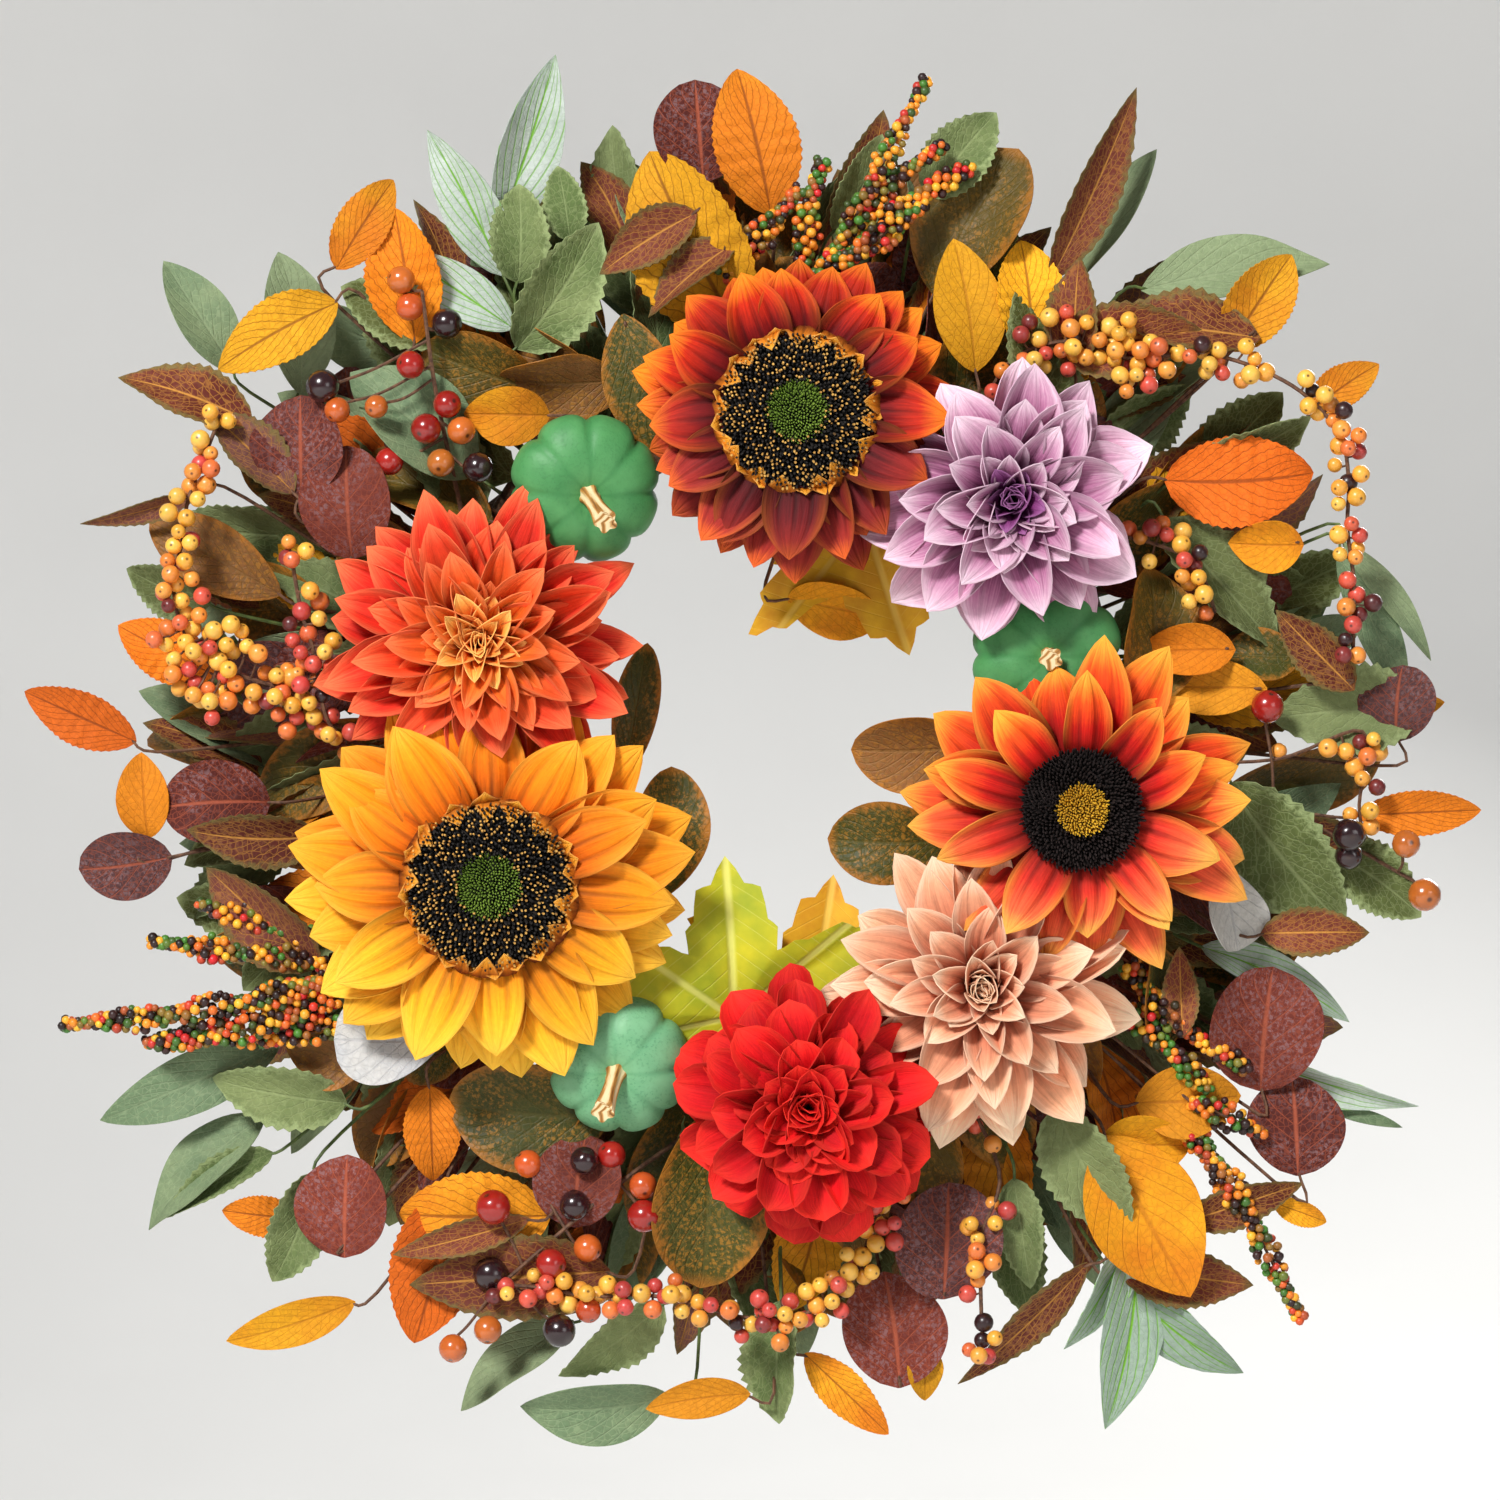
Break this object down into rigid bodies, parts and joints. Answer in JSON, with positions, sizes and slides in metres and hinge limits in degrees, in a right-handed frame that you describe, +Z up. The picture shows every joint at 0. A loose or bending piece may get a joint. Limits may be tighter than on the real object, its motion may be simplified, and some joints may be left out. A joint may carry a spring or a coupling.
{
  "type": "harvest door wreath",
  "caption": "Round harvest door wreath: a twisted vine ring with silk sunflowers, dahlias, small pumpkins, autumn leaves and berries, hung by a wire ring.",
  "frame": {"origin": "the point where a hook holds the hanging ring: the top of the inside of the ring, in the ring's middle plane", "axes": "+Z up as the wreath hangs, -Y out of the front towards the viewer, +Y into the door, +X to the viewer's right"},
  "size_m": [0.6156, 0.1186, 0.5843],
  "materials": {
    "grapevine": "dry twisted grapevine bark, matte",
    "hanger_metal": "dark brown painted steel band, satin",
    "ring_metal": "round steel wire, brushed",
    "green_leaf": "printed green leaf cloth with pressed veins, matte",
    "sage_leaf": "grey-green eucalyptus leaf cloth, matte",
    "gold_leaf": "yellow to orange printed beech leaf cloth, matte",
    "burgundy_leaf": "mottled burgundy leaf cloth, matte",
    "pale_leaf": "pale frosted leaf cloth with bright green veins, matte",
    "olive_leaf": "olive leaf cloth rubbed with gold at its edges, satin",
    "maple_leaf": "lime to yellow maple leaf cloth, matte",
    "stem_green": "green moulded stem and calyx",
    "rust_petals": "burgundy to orange petal cloth, soft matte",
    "coral_petals": "coral red petal cloth with yellow tips, soft matte",
    "yellow_petals": "golden yellow petal cloth, soft matte",
    "seed_disc": "dark seed face with gold specks and a green fuzzy middle",
    "purple_petals": "deep purple to pale lilac petal cloth",
    "pink_petals": "terracotta pink petal cloth with cream tips",
    "red_petals": "bright red petal cloth",
    "orange_petals": "orange-red petal cloth with pale curled edges",
    "pumpkin_skin": "painted foam, green and mint, fine grain",
    "pumpkin_stem": "moulded stem, cream rubbed with gold-brown",
    "red_berry": "glossy red and orange berries on brown twigs",
    "yellow_berry": "satin yellow, orange and pink berries on brown twigs",
    "millet": "tiny foam seeds in yellow, red, green and black"
  },
  "bodies": {
    "wreath": {"vine_strand_1": "grapevine", "vine_strand_2": "grapevine", "vine_strand_3": "grapevine", "vine_strand_4": "grapevine", "hanger_band": "hanger_metal", "leaf_spray_top_right": "green_leaf", "leaf_spray_upper_right": "sage_leaf", "leaf_spray_right_high": "gold_leaf", "leaf_spray_right": "burgundy_leaf", "leaf_spray_lower_right": "sage_leaf", "leaf_spray_bottom_right": "pale_leaf", "leaf_spray_bottom": "burgundy_leaf", "leaf_spray_bottom_left": "green_leaf", "leaf_spray_lower_left": "green_leaf", "leaf_spray_left": "gold_leaf", "leaf_spray_left_high": "burgundy_leaf", "leaf_spray_upper_left": "pale_leaf", "inner_leaves_right": "olive_leaf", "inner_leaves_left": "olive_leaf", "maple_leaf": "maple_leaf", "rust_sunflower_stem": "stem_green", "rust_sunflower_outer_petals": "rust_petals", "rust_sunflower_inner_petals": "rust_petals", "rust_sunflower_disc": "seed_disc", "coral_sunflower_stem": "stem_green", "coral_sunflower_outer_petals": "coral_petals", "coral_sunflower_inner_petals": "coral_petals", "coral_sunflower_disc": "seed_disc", "yellow_sunflower_stem": "stem_green", "yellow_sunflower_outer_petals": "yellow_petals", "yellow_sunflower_inner_petals": "yellow_petals", "yellow_sunflower_disc": "seed_disc", "purple_dahlia_stem": "stem_green", "purple_dahlia_outer_petals": "purple_petals", "purple_dahlia_heart": "purple_petals", "pink_dahlia_stem": "stem_green", "pink_dahlia_outer_petals": "pink_petals", "pink_dahlia_heart": "pink_petals", "red_mum_stem": "stem_green", "red_mum_outer_petals": "red_petals", "red_mum_heart": "red_petals", "orange_dahlia_stem": "stem_green", "orange_dahlia_outer_petals": "orange_petals", "orange_dahlia_heart": "orange_petals", "pumpkin_left_body": "pumpkin_skin", "pumpkin_left_stem": "pumpkin_stem", "pumpkin_right_body": "pumpkin_skin", "pumpkin_right_stem": "pumpkin_stem", "pumpkin_bottom_body": "pumpkin_skin", "pumpkin_bottom_stem": "pumpkin_stem", "berry_sprig_top_left": "red_berry", "berry_sprig_bottom": "red_berry", "berry_vine_left": "yellow_berry", "berry_vine_right": "yellow_berry", "berry_vine_bottom": "yellow_berry", "millet_spray_top": "millet", "millet_spray_left": "millet", "millet_spray_right": "millet"},
    "ring": {"hanging_ring": "ring_metal"}
  },
  "joints": [
    {"name": "ring_fold", "type": "hinge", "parent": "wreath", "child": "ring", "pos_m": [0, 0, -0.02125], "axis": [-1, 0, 0], "range_deg": [0, 95]}
  ]
}
